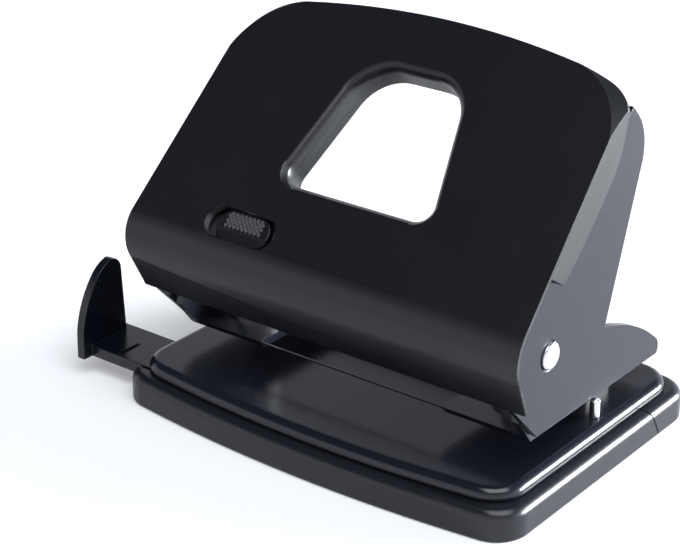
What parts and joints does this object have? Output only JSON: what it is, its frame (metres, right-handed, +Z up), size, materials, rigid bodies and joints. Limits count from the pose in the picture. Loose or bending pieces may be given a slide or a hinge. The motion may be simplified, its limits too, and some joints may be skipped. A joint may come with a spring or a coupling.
{
  "type": "hole punch",
  "caption": "Desk punch that cuts round holes in a sheet's edge: a wide slotted lever presses two sprung punches through a plate over a chip tray, with a sliding paper guide.",
  "frame": {"origin": "on the underside of the tray, at the middle of its width, below the line where the paper's edge stops", "axes": "+X to the right as seen by the user (the paper guide is on the left, -X), +Y to the back, +Z up"},
  "size_m": [0.133, 0.0859, 0.0959],
  "materials": {
    "tray_plastic": "satin moulded black",
    "cover_plastic": "fine satin black",
    "guide_plastic": "gloss black",
    "black_paint": "gloss black",
    "bright_steel": "polished",
    "plain_steel": "zinc plated",
    "spring_steel": "drawn wire"
  },
  "bodies": {
    "base": {"base_plate": "black_paint", "rear_tray": "tray_plastic", "tray_screws": "plain_steel", "stop_posts": "bright_steel", "punch_bracket": "black_paint", "bracket_spacer": "black_paint", "bracket_rivets": "bright_steel", "pivot_pin": "bright_steel", "pivot_clips": "plain_steel", "punch_guide_left": "plain_steel", "punch_guide_right": "plain_steel", "guide_strap": "plain_steel", "strap_rivet": "bright_steel", "punch_spring_left": "spring_steel", "punch_spring_right": "spring_steel"},
    "chip_tray_body": {"chip_tray": "tray_plastic"},
    "guide": {"paper_guide": "guide_plastic"},
    "handle": {"handle_cover": "cover_plastic", "lever_frame": "black_paint", "cover_screws": "plain_steel", "press_bar": "bright_steel"},
    "lock": {"lock_slider": "cover_plastic", "lock_bar": "plain_steel"},
    "left_punch": {"punch_left": "bright_steel", "spring_seat_left": "plain_steel"},
    "right_punch": {"punch_right": "bright_steel", "spring_seat_right": "plain_steel"}
  },
  "joints": [
    {"name": "press", "type": "hinge", "parent": "base", "child": "handle", "pos_m": [0, -0.0226, 0.037], "axis": [-1, 0, 0], "range_deg": [0, 38], "stiffness_Nm_per_rad": 0.25, "springref_deg": -28.65},
    {"name": "left_punch_slide", "type": "slide", "parent": "base", "child": "left_punch", "axis": [0, 0, -1], "range_m": [0, 0.0073], "deforming": ["punch_spring_left"]},
    {"name": "right_punch_slide", "type": "slide", "parent": "base", "child": "right_punch", "axis": [0, 0, -1], "range_m": [0, 0.0073], "deforming": ["punch_spring_right"]},
    {"name": "lock_slide", "type": "slide", "parent": "handle", "child": "lock", "axis": [-1, 0, 0], "range_m": [0, 0.0026]},
    {"name": "guide_slide", "type": "slide", "parent": "base", "child": "guide", "axis": [-1, 0, 0], "range_m": [-0.0135, 0.0767]},
    {"name": "tray_hinge", "type": "hinge", "parent": "base", "child": "chip_tray_body", "pos_m": [0, 0.0206, 0], "axis": [1, 0, 0], "range_deg": [0, 70]}
  ],
  "couplings": [
    {"joint": "left_punch_slide", "follows": "press", "m_per_rad": 0.01086},
    {"joint": "right_punch_slide", "follows": "press", "m_per_rad": 0.01086}
  ]
}
